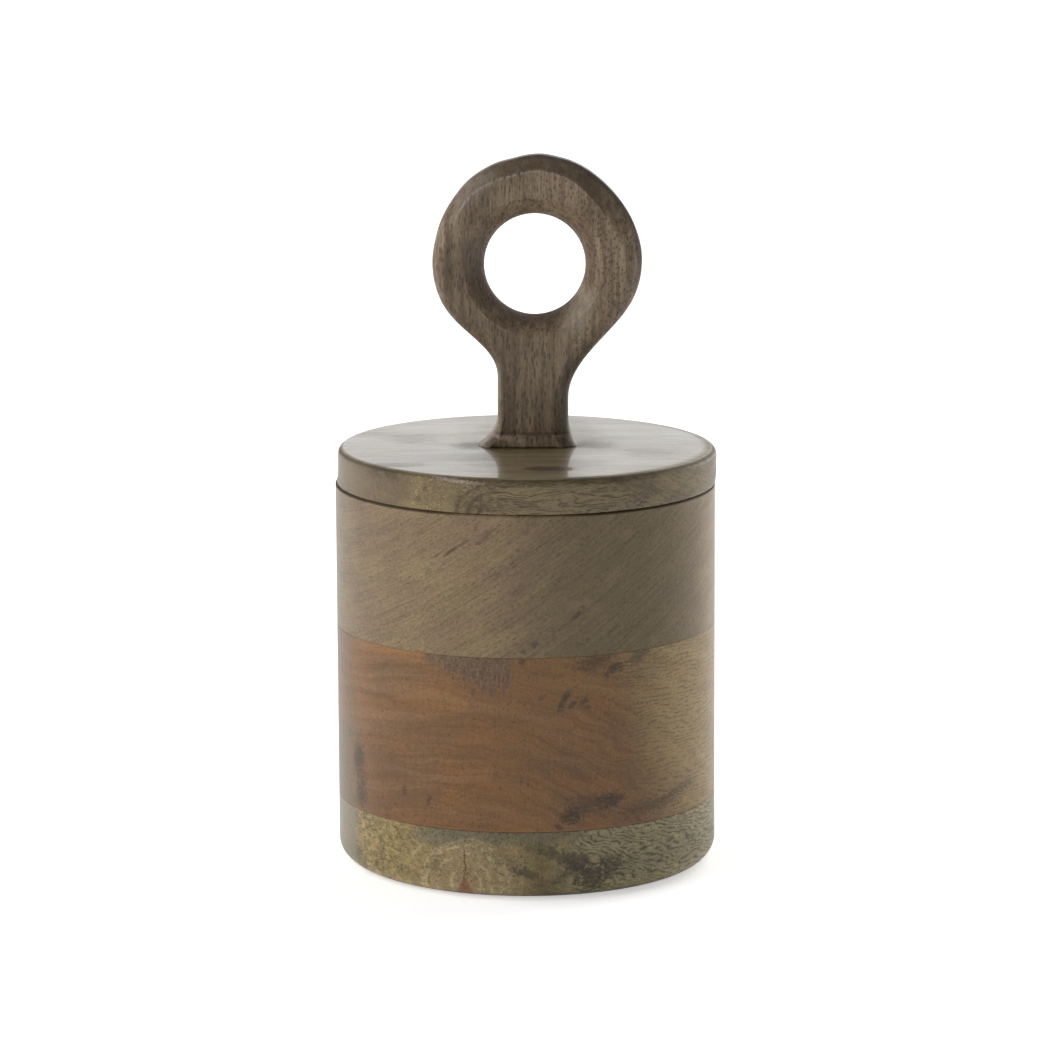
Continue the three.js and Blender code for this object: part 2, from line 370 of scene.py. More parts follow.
def pores(place, size, share, turn=(0, 0, 0)):
    """Open vessels: 1 near the points of a stretched Voronoi pattern, each with a width of its own."""
    sockets = {"Vector": along(place, size, turn), "Scale": 1.0}
    distance = place.node("ShaderNodeTexVoronoi", {}, sockets, "Distance")
    cell = Shade(distance.socket.node.outputs["Color"])
    width = cell.node("ShaderNodeSeparateColor", {}, {0: cell}, 0)
    return step(distance - width * share, 0.12, 0.0)


def spot(place, centre, turn, size, ragged, grain):
    """A stain from 0 to 1: an ellipsoid about a centre whose edge breaks up into grains."""
    local = along(place, size, turn, centre)
    reach = local.node("ShaderNodeVectorMath", {"operation": "LENGTH"}, {0: local}, "Value")
    fray = noise(place, (grain, grain, grain), detail=4, roughness=0.8)
    return step(reach + (fray - 0.5) * ragged * 4, 1.2, 0.5)


def ring_lines(field, spacing, thin=0.3):
    """Growth lines: 1 on thin lines where a field passes a whole number of spacings, and 0 between them."""
    return step((field / spacing).math("PINGPONG", 1.0), thin, 0.05)


def blotch(place, azimuth, height, half_length, half_height, rise, ragged=0.8, grain=0.8):
    """A stain on the turned side, from 0 to 1: an ellipse with a ragged edge, tilted to rise to the right.
    Its place is an angle round the pot, in degrees to the right of the front, and a height."""
    turn = math.radians(azimuth)
    centre = (pot_radius * math.sin(turn), -pot_radius * math.cos(turn), height)
    size = (half_length, stain_depth, half_height)
    return spot(place, centre, (0, -math.radians(rise), turn), size, ragged, grain)


def stained(place, colour, stain, marks):
    """Puts a list of stains on a colour, each written as a blotch's values after its strength."""
    for strength, *where in marks:
        colour = blend(blotch(place, *where) * strength, colour, stain)
    return colour


def bumped(height, distance):
    """Normals of a surface whose height in 0 to 1 stands for a distance in millimetres."""
    return height.node("ShaderNodeBump", {}, {"Height": height, "Distance": distance * metre})


def wood_end(colour, roughness, normal, polish=0.0):
    """The finished surface: oiled wood with a low reflection, and a coat of polish where that is above 0."""
    sockets = {"Base Color": colour, "Roughness": roughness, "Normal": normal}
    sockets.update({"Specular IOR Level": 0.4, "Coat Weight": polish, "Coat Roughness": 0.06})
    shader_end(colour, "ShaderNodeOutputMaterial", colour.node("ShaderNodeBsdfPrincipled", {}, sockets))


foot_ring_outer = pot_radius - foot_round_width
foot_ring_inner = foot_ring_outer - foot_ring_width
base_profile = filled(
    (0, foot_hollow),
    (foot_ring_inner - 2 * foot_hollow, foot_hollow),
    (foot_ring_inner, 0),
    arc((foot_ring_outer, foot_round_height), (foot_round_width, foot_round_height), -90, 0, 14),
    arc((pot_radius - seam_ease, lower_seam - seam_ease), seam_ease, 0, 90, 3),
    arc((bore_radius + seam_ease, lower_seam - seam_ease), seam_ease, 90, 180, 3),
    arc((bore_radius - floor_fillet, floor_height + floor_fillet), floor_fillet, 0, -90),
    (0, floor_height),
)

pith_x, pith_height = -18.7, 5.0
ring_spacing = 2.2
late_ring_radius = 11.6
crack_top = 17
wedge_top = 7.4
bark_edge_x = -53.3
base_material, place = wood_start("oiled_base_wood")
x, y, z = axes_of(place)
sway = noise(place, (14, 70, 14)) - 0.5
from_pith = from_centre(x - pith_x + sway * 6, z - pith_height + sway * 4)
speckle = step(noise(place, (0.8, 4.0, 0.8), roughness=0.7), 0.36, 0.64)
flecks = step(noise(place, (1.9, 10.0, 1.6), roughness=0.7), 0.34, 0.66)
clouds = noise(place, (7, 60, 5), roughness=0.6)
colour = blend(step(clouds, 0.34, 0.66), tone(134, 116, 76), tone(104, 92, 61))
colour = dyed(colour, step(from_pith, 26, 10) * 0.85, (152, 134, 98))
yellow_side = step(x, -22, -30) * step(speckle * 0.5 + flecks * 0.5 + clouds, 0.55, 1.5)
colour = dyed(colour, yellow_side * 0.85, (148, 130, 80))
grey_side = step(x + sway * 14, 6, 20)
colour = dyed(colour, grey_side, (150, 139, 102))
ringed = step(from_pith, 24, 12)
ring_field = from_pith + sway * 5
pale_rings = ring_lines(ring_field, ring_spacing) * ringed * step(clouds + flecks, 0.4, 1.1)
colour = dyed(colour, pale_rings * 0.5, (182, 164, 128))
dark_rings = ring_lines(ring_field + ring_spacing, ring_spacing, 0.5) * ringed
colour = dyed(colour, dark_rings * 0.16, (104, 86, 56))
from_late_ring = abs(from_pith - late_ring_radius)
late_ring = step(from_late_ring, 0.7, 0.1) * step(flecks, 0.2, 0.7)
colour = dyed(colour, late_ring * 0.55, (182, 166, 132))
seam_band = step(z + sway * 9 - x * 0.03, 16.5, 19.5) * step(x, -38, -30) * step(x, 26, 10)
colour = dyed(colour, seam_band * 0.75, (106, 99, 80))
curl = noise(place, (10, 40, 6), detail=2) * 10 + z * 0.9 + x * 0.4
broken = step(noise(place, (2.6, 10, 1.0), detail=2, roughness=0.7), 0.38, 0.52)
dark_curl = ring_lines(curl, 0.75, 0.75) * broken * grey_side
colour = dyed(colour, dark_curl * 0.8, (80, 70, 51))
on_front = step(y, -44, -52)
crack = step(abs(x - pith_x + (flecks - 0.5) * 0.9), 0.42, 0.12)
crack = crack * step(z, crack_top, crack_top - 2.5) * step(z, 3.5, 5) * on_front
colour = dyed(colour, crack * 0.9, (108, 62, 40))
wedge_half = (wedge_top - z) * 0.36 + flecks * 0.6
wedge = step(abs(x - pith_x) - wedge_half, 0.3, -0.3)
wedge = wedge * step(z, wedge_top - 0.2, wedge_top - 1.2) * on_front
colour = dyed(colour, wedge * 0.8, (122, 78, 50))
base_stains = (
    (0.7, 11, 13.5, 8, 2.2, -28, 0.9, 2),
    (0.75, 16, 11, 4.5, 5, 10, 0.9, 1.8),
    (0.8, 20, 6.5, 5, 5, 30, 1, 1.8),
    (0.65, 26, 9.5, 4.5, 4.5, 10, 1, 1.8),
    (0.7, 0.5, 9, 5, 1.5, -20, 0.8, 1.4),
    (0.45, 9, 6.5, 5, 1.4, 10, 1.3, 1.4),
    (0.55, -62, 6, 3.5, 6, 0, 0.7, 1.5),
    (0.35, -38, 5.5, 5, 2.5, 0, 1.4, 1.4),
    (0.35, -28, 9, 4, 3, 30, 1.4, 1.4),
    (0.3, -50, 8, 3, 5, 0, 1.4, 1.4),
    (0.3, -7, 13.5, 6, 2, -30, 1.4, 1.6),
)
colour = stained(place, colour, tone(70, 60, 43), base_stains)
bark_side = step(x, bark_edge_x + 0.5, bark_edge_x - 0.5)
colour = dyed(colour, bark_side * 0.85, (116, 108, 92))
quiet = 1 - bark_side * 0.8
colour = shaded(colour, 1.07 + (speckle - 0.5) * 0.36 * quiet + (flecks - 0.5) * 0.34 * quiet)
vessels = pores(place, (1.1, 8, 1.1), 0.32)
lit_foot = step(z, 7, 2) * 0.42
dark_middle = step(z, 7, 9) * step(z, 15, 12) * step(x, 8, 14) * 0.1
colour = shaded(colour, 1 - vessels * 0.35 * quiet + lit_foot - dark_middle)
glue_line = step(z - lower_seam - x * seam_slope, -0.45, -0.05)
colour = dyed(colour, glue_line * 0.6, (70, 56, 40))
base_roughness = 0.34 + (speckle - 0.5) * 0.06
base_normal = bumped(speckle * 0.5 - vessels, 0.05)
wood_end(colour, base_roughness, base_normal)
piece("base_board", [skin("base", turned(base_profile, settled))], base_material, "pot")


# Middle board: a ring of wall from a redder board, glued between the other two. Its fibres run from front to
# back too; the heart is red-brown with grey stains, and the pale sapwood is at the right.
def wall_ring(bottom, top, top_ease, top_steps):
    """Profile of a ring of wall between two heights: four straight sides joined by quarter rounds."""
    return filled(
        arc((bore_radius + seam_ease, bottom + seam_ease), seam_ease, 180, 270, 3),
        arc((pot_radius - seam_ease, bottom + seam_ease), seam_ease, -90, 0, 3),
        arc((pot_radius - top_ease, top - top_ease), top_ease, 0, 90, top_steps),
        arc((bore_radius + top_ease, top - top_ease), top_ease, 90, 180, top_steps),
    )


middle_profile = wall_ring(lower_seam, upper_seam, seam_ease, 3)
middle_pith_x, middle_pith_height = -26, -38
sapwood_top_x = 33
sapwood_lean = 0.2
patch_left, patch_right, patch_bottom, patch_top = -31, -4.4, 67.6, 76.5
patch_fall = 0.62
middle_material, place = wood_start("oiled_middle_wood")
x, y, z = axes_of(place)
height = z - x * seam_slope
sway = noise(place, (26, 90, 14)) - 0.5
from_pith = from_centre(x - middle_pith_x + sway * 12, z - middle_pith_height + sway * 10)
speckle = step(noise(place, (0.7, 3.5, 0.8), roughness=0.7), 0.36, 0.64)
threads = step(noise(place, (0.7, 20, 5), detail=2), 0.36, 0.64)
clouds = noise(place, (20, 70, 13), roughness=0.55)
colour = blend(step(clouds, 0.35, 0.65), tone(132, 95, 56), tone(119, 88, 57))
warm = step(noise(place, (16, 60, 12), (0, 0.25, 0), detail=2), 0.45, 0.65)
colour = dyed(colour, warm * 0.3, (142, 96, 52))
# Darker towards the left: the board's own darker wood there, and painted shade.
colour = shaded(colour, 1 - step(x, -28, -46) * 0.2)
golden = step(x, 2, 12) * step(x, 46, 30) * step(height + sway * 8, 58, 68)
colour = dyed(colour, golden * 0.4, (138, 104, 52))
layers = step(noise(joined(from_pith, y, x * 0.04), (1.3, 60, 1), roughness=0.6), 0.35, 0.65)
layer_bands = noise(joined(from_pith, y, x * 0.03), (5, 80, 1), detail=2)
colour = shaded(colour, 1 + (layers - 0.5) * 0.17 + (layer_bands - 0.5) * 0.28 + (threads - 0.5) * 0.07)
pale_layer = step(noise(joined(from_pith, y, x * 0.02), (3.2, 80, 1)), 0.52, 0.7)
colour = dyed(colour, pale_layer * 0.12, (176, 144, 108))
dark_layer = step(layers, 0.5, 0.2) * step(x, -12, 18)
colour = dyed(colour, dark_layer * 0.14, (84, 58, 38))
sap_edge = sapwood_top_x + (upper_seam - height) * sapwood_lean + sway * 10
sapwood = step(x - sap_edge, -10, 9)
sap_colour = blend(step(layer_bands, 0.35, 0.65), tone(165, 141, 94), tone(153, 129, 84))
colour = blend(sapwood * 0.95, colour, sap_colour)
sap_layers = z + x * 0.08 + noise(place, (16, 40, 9), detail=2) * 8
broken = step(noise(place, (2.3, 4.5, 0.75), roughness=0.7), 0.44, 0.56)
strokes = ring_lines(sap_layers, 0.68, 0.7) * broken * step(x - sap_edge, -14, 2)
colour = dyed(colour, strokes * 0.6, (90, 75, 54))
orange_rim = step(height, 71.5, 76.5) * step(x, -56, -50) * step(x, -28, -34)
colour = dyed(colour, orange_rim * 0.45, (160, 114, 66))
teeth = noise(place, (0.9, 6, 4), roughness=0.7) - 0.5
patch_edge = (patch_top - (x - patch_left) * patch_fall).math("MAXIMUM", patch_bottom)
patch = step(height + teeth * 20 - patch_edge, -0.4, 0.6) * step(y, 0, -10)
patch_side = x + teeth * 6
patch = patch * step(patch_side, patch_left - 1, patch_left + 0.5)
patch = patch * step(patch_side, patch_right + 0.8, patch_right - 0.8)
patch_tone = blend(speckle * 0.5 + threads * 0.5, tone(88, 70, 52), tone(125, 102, 77))
colour = blend(patch * 0.95, colour, patch_tone)
middle_stains = (
    (0.7, -1, 76, 1.2, 1.3, 0, 0.6, 0.8),
    (0.85, 12, 64.8, 2.8, 1.2, 58),
    (0.8, 10.6, 61.8, 2.2, 1.1, 66),
    (0.8, 14, 62.2, 2.2, 0.9, 50),
    (0.75, 17.4, 62.8, 2, 1, 36),
    (0.6, 18.4, 61, 1.5, 0.9, -20),
    (0.5, 4.6, 64.5, 1.6, 0.9, 20, 0.9, 0.8),
    (0.9, 27.5, 72.8, 3.8, 1.5, 14, 1, 0.9),
    (0.65, 25, 70.8, 1.6, 0.9, 60),
    (0.7, 20, 75, 6, 2.5, 10, 0.9, 0.9),
    (0.65, 36, 76, 5, 2.4, 20, 0.9, 0.9),
    (0.3, 38, 70.5, 9, 4.5, 8, 1, 1.2),
    (0.85, -61, 38, 4, 6.5, 0, 0.7, 1.5),
    (0.75, -59.5, 28, 3.6, 6, 0, 0.7, 1.5),
    (0.8, -38.9, 32, 1.1, 1.4, 0, 0.5, 0.7),
    (0.65, -30, 30.5, 0.8, 1.6, -40, 0.7, 0.7),
    (0.6, -30.3, 28.8, 0.5, 1.2, -50, 0.7, 0.7),
    (0.95, 14, 27, 4.2, 2.8, 20, 0.9, 0.7),
    (0.95, 26, 31, 5, 2.6, 5, 0.9, 0.7),
    (0.6, 20, 30.5, 7, 3.6, 0, 1.1, 0.7),
    (0.5, 42, 27.6, 14, 2.2, 5, 1.1, 1),
    (0.5, 54, 30.4, 8, 1.8, 14, 1.1, 1),
    (0.8, 9.8, 23.6, 0.9, 1.6, 60, 0.6, 0.7),
    (0.6, -1.2, 38, 0.5, 1.5, -12, 0.7, 0.7),
    (0.55, 0.8, 37.2, 0.4, 1.1, 0, 0.7, 0.7),
    (0.5, -8.6, 40.4, 0.6, 1.3, -20, 0.7, 0.7),
    (0.45, -7.4, 36, 0.6, 1, 15, 0.7, 0.7),
)
end_wood = step(x, -52.5, -57) * 0.4 + step(x, -51.5, -54) * step(z, 52, 44) * 0.35
colour = dyed(colour, end_wood, (104, 92, 70))
stained_wood = stained(place, colour, tone(60, 51, 37), middle_stains)
show_through = step(noise(place, (2.2, 6, 0.55), (0, -0.2, 0), roughness=0.7), 0.5, 0.6)
colour = blend(show_through * 0.6, stained_wood, colour)
colour = shaded(colour, 1 + (speckle - 0.5) * 0.26)
vessels = pores(place, (1.3, 9, 1.3), 0.26)
colour = shaded(colour, 1 - vessels * 0.25)
glue_line = step(height - lower_seam, 0.8, 0.1) * (0.25 + step(x, -30, -8) * 0.4)
colour = dyed(colour, glue_line, (150, 104, 66))
middle_roughness = 0.34 + (speckle - 0.5) * 0.06
middle_normal = bumped(speckle * 0.5 - vessels, 0.04)
wood_end(colour, middle_roughness, middle_normal)
middle_skin = skin("middle", turned(middle_profile, settled), True)
piece("middle_board", [middle_skin], middle_material, "pot")


# Upper board: a ring of wall that ends in the rim, with its two edges softened. It is olive brown and
# close-grained; its growth layers lie askew and show as fine streaks that rise to the right.
rim_ease = 0.6
upper_profile = wall_ring(upper_seam, rim_height, rim_ease, 6)
layer_normal = Vector((-0.7, -0.08, 1)).normalized()
layer_turn = tuple(layer_normal.to_track_quat("Z", "Y").to_euler())
upper_material, place = wood_start("oiled_upper_wood")
x, y, z = axes_of(place)
speckle = step(noise(place, (1.1, 1.1, 0.7), layer_turn, roughness=0.75), 0.36, 0.64)
streaks = step(noise(place, (13, 18, 0.6), layer_turn, roughness=0.65), 0.34, 0.66)
bands = noise(place, (60, 70, 5), layer_turn, detail=2)
clouds = noise(place, (14, 20, 9), layer_turn, roughness=0.6)
colour = blend(step(clouds, 0.35, 0.65), tone(132, 114, 83), tone(124, 104, 80))
# Right of centre the wood turns olive and darker: its own olive colour, and painted shade.
olive_tint_and_painted_shade = step(x, -12, 22) * step(x, 58, 42)
colour = dyed(colour, olive_tint_and_painted_shade, (115, 99, 69))
rosy = step(noise(place, (9, 14, 8), detail=2), 0.56, 0.7)
colour = dyed(colour, rosy * 0.35, (138, 112, 88))
colour = shaded(colour, 1 + (streaks - 0.5) * 0.24 + (bands - 0.5) * 0.3 + (speckle - 0.5) * 0.3)
fine_line = step(noise(place, (22, 30, 0.35), layer_turn, detail=1), 0.66, 0.76)
colour = shaded(colour, 1 - fine_line * 0.34)
# Painted light left of centre and at the right edge, and painted shade at the far left.
painted_light_left = step(x, -42, -28) * step(x, 2, -10)
painted_light_right_edge = step(x, 52, 59)
painted_shade_left = step(x, -44, -52)
colour = shaded(colour, 1 + painted_light_left * 0.09 + painted_light_right_edge * 0.3 - painted_shade_left * 0.1)
vessels = pores(place, (1.1, 3, 0.8), 0.26, layer_turn)
colour = shaded(colour, 1 - vessels * 0.3)
upper_stains = (
    (0.75, -22.5, 109.6, 3.6, 0.55, 37, 0.5, 0.8),
    (0.5, -18.5, 112.6, 2.6, 0.45, 39, 0.6, 0.8),
    (0.55, -27, 108, 1.9, 0.45, 40, 0.6, 0.8),
    (0.5, -11.2, 115.2, 3, 0.8, 48),
    (0.4, -13.6, 112.8, 0.9, 0.7, 0),
    (0.85, 15.2, 90.2, 2.2, 0.7, 42, 0.7, 0.7),
    (0.5, 17.2, 92.2, 0.8, 0.9, 0, 0.8, 0.7),
    (0.7, 2.6, 81.4, 1.5, 1.1, 25),
    (0.6, -0.6, 79.2, 0.8, 0.8, 0, 0.7, 0.7),
    (0.5, 26.8, 84.8, 3.2, 0.5, 36, 0.6, 0.8),
    (0.4, 15.8, 80.8, 1, 1, 0),
    (0.35, 18.4, 82.4, 0.9, 1, 40),
    (0.3, -30, 103, 1.6, 0.7, 60, 0.9, 1),
    (0.25, -19, 93, 12, 0.35, 31, 0.5, 1.2),
    (0.25, -2, 98, 3, 1, 35, 0.8, 1.2),
    (0.25, -1, 90, 9, 0.4, 36, 0.5, 1.2),
)
colour = stained(place, colour, tone(74, 64, 48), upper_stains)
glue_line = step(z - x * seam_slope - upper_seam, 0.5, 0.1)
colour = dyed(colour, glue_line * 0.35, (96, 82, 60))
near_rim = step(z, rim_height - 0.85, rim_height - 0.4)
rim_shadow = near_rim * step(from_centre(x, y), pot_radius - 0.9, pot_radius - 0.5)
centre_front = step(abs(x + 3), 26, 12)
colour = dyed(colour, rim_shadow * (0.85 - centre_front * 0.6), (42, 33, 22))
upper_roughness = 0.34 + (speckle - 0.5) * 0.06 + rim_shadow * 0.4
upper_normal = bumped(speckle * 0.5 - vessels, 0.04)
wood_end(colour, upper_roughness, upper_normal)
upper_skin = skin("upper", turned(upper_profile, settled), True)
piece("upper_board", [upper_skin], upper_material, "pot")


# Lid board: a flange that rests on the rim, a spigot with the seal's groove, a mortise from above for the
# handle's tenon and a countersunk hole from below for its screw. It is turned from one wavy-grained board and
# its top is polished.
lid_low, lid_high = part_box("lid_board")
lid_radius = lid_high.x / metre
seat_height = lid_high.z / metre
spigot_bottom = lid_low.z / metre
lid_crown = 0.4
lid_edge_top = seat_height - lid_crown
top_edge_width = 2.2
top_edge_height = 2.4
flange_ease = 0.5
spigot_gap = 0.8
spigot_radius = bore_radius - spigot_gap
spigot_ease = 1.6
groove_depth = 2.2
groove_clearance = 0.3
seal_low, seal_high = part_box("seal_ring")
groove_low = seal_low.z / metre - groove_clearance
groove_high = seal_high.z / metre + groove_clearance
seat_radius = 18
tenon_hole = 7.3
mortise_depth = 7
screw_low, screw_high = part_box("handle_screw")
screw_bottom = screw_low.z / metre
screw_head_radius = screw_high.x / metre
screw_head_rim = 0.4
screw_clearance = 0.3
sink_radius = screw_head_radius + screw_clearance
sink_rim = screw_bottom + screw_head_rim
screw_shank = 2.0
screw_hole = screw_shank + screw_clearance
cone_top = sink_rim + screw_head_radius - screw_shank
lid_shift = 0.6
lid_shift_height = 2
top_fall = 0.0011


def lid_settled(points):
    """The flange is off the spigot's centre: x gains lid_shift times a share that grows outwards from the
    spigot and upwards from the rim. Its top falls to the right: z loses top_fall times x."""
    x, y, z = np.moveaxis(points, -1, 0)
    share = np.clip((np.hypot(x, y) - spigot_radius) / (lid_radius - spigot_radius), 0, 1)
    above = np.clip((z - rim_height) / lid_shift_height, 0, 1)
    return np.stack([x + lid_shift * share * np.sqrt(above), y, z - top_fall * x * above * share], -1)


top_flat = lid_radius - top_edge_width
crown_share = np.linspace(1, 0, 12)[1:]
crown_radius = seat_radius + (top_flat - seat_radius) * crown_share
lid_profile = filled(
    (sink_radius, spigot_bottom),
    arc((spigot_radius - spigot_ease, spigot_bottom + spigot_ease), spigot_ease, -90, 0),
    (spigot_radius, groove_low),
    (spigot_radius - groove_depth, groove_low),
    (spigot_radius - groove_depth, groove_high),
    (spigot_radius, groove_high),
    (spigot_radius, rim_height),
    arc((lid_radius - flange_ease, rim_height + flange_ease), flange_ease, -90, 0, 5),
    arc((top_flat, lid_edge_top - top_edge_height), (top_edge_width, top_edge_height), 0, 90, 12),
    np.stack([crown_radius, seat_height - lid_crown * crown_share ** 2], 1),
    (tenon_hole, seat_height),
    (tenon_hole, seat_height - mortise_depth),
    (screw_hole, seat_height - mortise_depth),
    (screw_hole, cone_top),
    (sink_radius, sink_rim),
)

arch_x = -8
lid_material, place = wood_start("polished_lid_wood")
x, y, z = axes_of(place)
sway = noise(place, (20, 12, 7), roughness=0.6) - 0.5
speckle = step(noise(place, (1.0, 0.8, 0.7), roughness=0.7), 0.36, 0.64)
flow = joined(x, y + sway * 10, z + sway * 9)
waves = noise(flow, (7, 2.8, 0.7), roughness=0.65, distortion=0.5)
bands = noise(flow, (22, 9, 3.2), detail=2)
crackle = noise(place, (1.0, 1.4, 0.8), roughness=0.8, distortion=1.2)
colour = blend(step(bands, 0.35, 0.65), tone(132, 116, 82), tone(112, 97, 72))
smooth_end = step(x + sway * 16, -33, -39)
colour = dyed(colour, smooth_end * 0.8, (107, 91, 68))
swayed_x = x + sway * 10
yellow = step(swayed_x, -37, -33) * step(swayed_x, -21, -27) * step(crackle, 0.5, 0.62)
colour = dyed(colour, yellow * 0.7, (168, 146, 98))
crackled = step(x, -24, -19) * step(x, -6, -11) * step(crackle, 0.52, 0.44)
colour = dyed(colour, crackled * 0.8, (74, 62, 46))
from_arch = from_centre((x - arch_x) * 0.72, z - rim_height) + sway * 2
arch = ring_lines(from_arch, 1.2, 0.65) * step(from_arch, 2.5, 4.5) * step(from_arch, 11, 9.5)
colour = dyed(colour, arch * step(x, -4, -9) * 0.55, (64, 53, 40))
wavy = step(x, -14, -8) * step(x + (z - rim_height) * 2.2, 52, 40)
yellow_layer = step(waves, 0.56, 0.4) * wavy
colour = dyed(colour, yellow_layer * 0.6, (140, 124, 88))
rise_and_fall = noise(place, (12, 13, 6), detail=2) * 9 + z
broken = step(waves, 0.4, 0.52)
dark_wave = ring_lines(rise_and_fall, 0.6, 0.65) * broken * wavy
colour = dyed(colour, dark_wave * 0.75, (62, 52, 38))
falling = noise(place, (14, 30, 0.9), (0, 0.62, 0))
falling_lines = ring_lines(x * 0.62 + z + sway * 8, 0.8, 0.5) * step(x, 20, 30) * broken
colour = dyed(colour, falling_lines * 0.35, (70, 59, 43))
falling_end = (falling - 0.5) * step(x, 22, 32)
colour = shaded(colour, 1 + falling_end * 0.9 + (speckle - 0.5) * 0.26)
lid_stains = (
    (0.6, -44.5, 131.5, 4.5, 2.2, -20, 0.8, 1.5),
    (0.35, -52, 130.5, 6, 1.6, 0, 0.9, 1.5),
    (0.5, -33.5, 125, 1.2, 0.9, 50),
    (0.35, -31, 128.5, 1.2, 0.8, 50),
    (0.4, 62.5, 127, 0.8, 0.7, 0, 0.6, 0.7),
    (0.35, 20, 131.5, 9, 1.1, -4, 0.9, 1.2),
    (0.35, 31, 130, 8, 1.2, -18, 0.9, 1.2),
)
colour = stained(place, colour, tone(74, 62, 46), lid_stains)
on_top = step(z, lid_edge_top - 0.5, lid_edge_top - 0.15)
# Painted shade: a dark band on the upper part of the rounded top edge, just under the polished top.
edge_line = step(z, lid_edge_top - 1.5, lid_edge_top - 0.7)
top_streaks = noise(place, (26, 3.2, 9), detail=4, roughness=0.65)
top_patches = noise(place, (34, 12, 20), detail=2)
top_wood = blend(step(top_streaks, 0.35, 0.65), tone(127, 115, 83), tone(101, 90, 66))
colour = dyed(colour, edge_line * 0.6, (58, 50, 38))
colour = blend(on_top, colour, top_wood)
# Dark smears on the top: stains, and painted shade in the two beside the foot, at -17 and 21 mm across.
top_smears_and_foot_shade = (
    (0.35, 2.4, 0, 25, 90, 0.2, 4),
    (0.5, -17, -3, 6.5, 8, 0.7, 1.5),
    (1, 7.5, -43, 8.5, 4.5, 0.4, 1.2),
    (0.5, -41, -36, 11, 4, 0.7, 2),
    (0.4, 21, -1, 9, 7, 0.8, 1.5),
    (0.3, 40, -16, 10, 8, 0.9, 3),
    (0.3, -36, 10, 9, 8, 0.9, 3),
)
top_stain_and_foot_shade = 0
for strength, side, back, length, width, ragged, grain in top_smears_and_foot_shade:
    smear = spot(place, (side, back, seat_height), (0, 0, 0), (length, width, 4), ragged, grain)
    top_stain_and_foot_shade = smear * strength + top_stain_and_foot_shade
top_stain_and_foot_shade = top_stain_and_foot_shade.clipped()
colour = dyed(colour, top_stain_and_foot_shade, (62, 49, 36))
under_flange = step(z, rim_height + 0.4, rim_height + 0.1)
flange_shadow = under_flange * step(from_centre(x, y), lid_radius - 1.4, lid_radius - 1)
colour = dyed(colour, flange_shadow * 0.85, (42, 33, 22))
# Painted glints: pale specks along the lid's top front edge, where the light catches it.
chips_and_glints = blotch(place, -20.0, lid_edge_top - 1.3, 8.5, 0.6, -4, 0.9, 0.9) * (0.35 + speckle * 0.65)
colour = dyed(colour, chips_and_glints * 0.6, (190, 176, 166))
vessels = pores(place, (5, 1.3, 1.1), 0.24)
colour = shaded(colour, 1 - vessels * 0.25)
lid_roughness = 0.34 + flange_shadow * 0.4 + edge_line * (1 - on_top) * 0.3 + (speckle - 0.5) * 0.05
lid_roughness = lid_roughness + on_top * (top_streaks - 0.5) * 0.2
top_polish = 0.86 + (top_patches - 0.5) * 1.3 + (top_streaks - 0.5) * 0.6 - top_stain_and_foot_shade
polished = step(z, lid_edge_top - 0.06, lid_edge_top + 0.02) * top_polish.clipped()
lid_normal = bumped(speckle * 0.4 - vessels * 0.6, 0.03)
wood_end(colour, lid_roughness, lid_normal, polished)
piece("lid_board", [skin("lid", turned(lid_profile, lid_settled), True)], lid_material, "lid")


# Seal: a soft pale ring of silicone, moulded with rounded outer edges. It is stretched over the spigot into
# its groove, where it wipes the bore and holds the lid.
seal_edge = 0.9
seal_radius = seal_high.x / metre
seal_inner = spigot_radius - groove_depth + groove_clearance
seal_bottom, seal_top = seal_low.z / metre, seal_high.z / metre
seal_profile = filled(
    (seal_inner, seal_bottom),
    arc((seal_radius - seal_edge, seal_bottom + seal_edge), seal_edge, -90, 0),
    arc((seal_radius - seal_edge, seal_top - seal_edge), seal_edge, 0, 90),
    (seal_inner, seal_top),
)


def plain_finish(name, colour, roughness, metallic=0.0):
    """A material with one colour all over."""
    material = bpy.data.materials.new(name)
    start, _ = shader_start(material)
    sockets = {"Base Color": colour, "Roughness": roughness, "Metallic": metallic}
    shader_end(start, "ShaderNodeOutputMaterial", start.node("ShaderNodeBsdfPrincipled", {}, sockets))
    return material


seal_rubber = plain_finish("pale_silicone", tone(214, 212, 205), 0.55)
piece("seal_ring", [skin("seal", turned(seal_profile), True)], seal_rubber, "seal")


# Handle screw: a countersunk steel wood screw with a cross recess in its head. It goes up through the lid
# board into the handle's tenon, and its head is flush with the spigot's face.
screw_top = screw_high.z / metre
point_length = 5
thread_pitch = 1.6
thread_depth = 0.45
recess_reach = 2.3
recess_half_width = 0.55
recess_depth = 1.3


def cut_screw(points):
    """Presses the cross recess into the head's face and cuts the thread, whose ridge follows the angle less
    the height over the pitch."""
    x, y, z = np.moveaxis(points, -1, 0)
    away = np.minimum(np.abs(x), np.abs(y))
    reach = np.hypot(x, y)
    arm = np.clip((recess_half_width - away) / 0.2 + 0.5, 0, 1) * np.clip((recess_reach - reach) / 0.4, 0, 1)
    on_face = z < screw_bottom + 0.01
    z = z + on_face * arm * recess_depth
    turn = np.arctan2(y, x) / (2 * np.pi) - z / thread_pitch
    valley = 1 - np.abs(2 * (turn - np.floor(turn)) - 1)
    on_shank = np.clip((z - cone_top - 1) / 1.5, 0, 1) * np.clip((screw_top - 1 - z) / 1.5, 0, 1)
    scale = 1 - thread_depth * valley * on_shank / np.maximum(reach, screw_shank)
    return np.stack([x * scale, y * scale, z], -1)


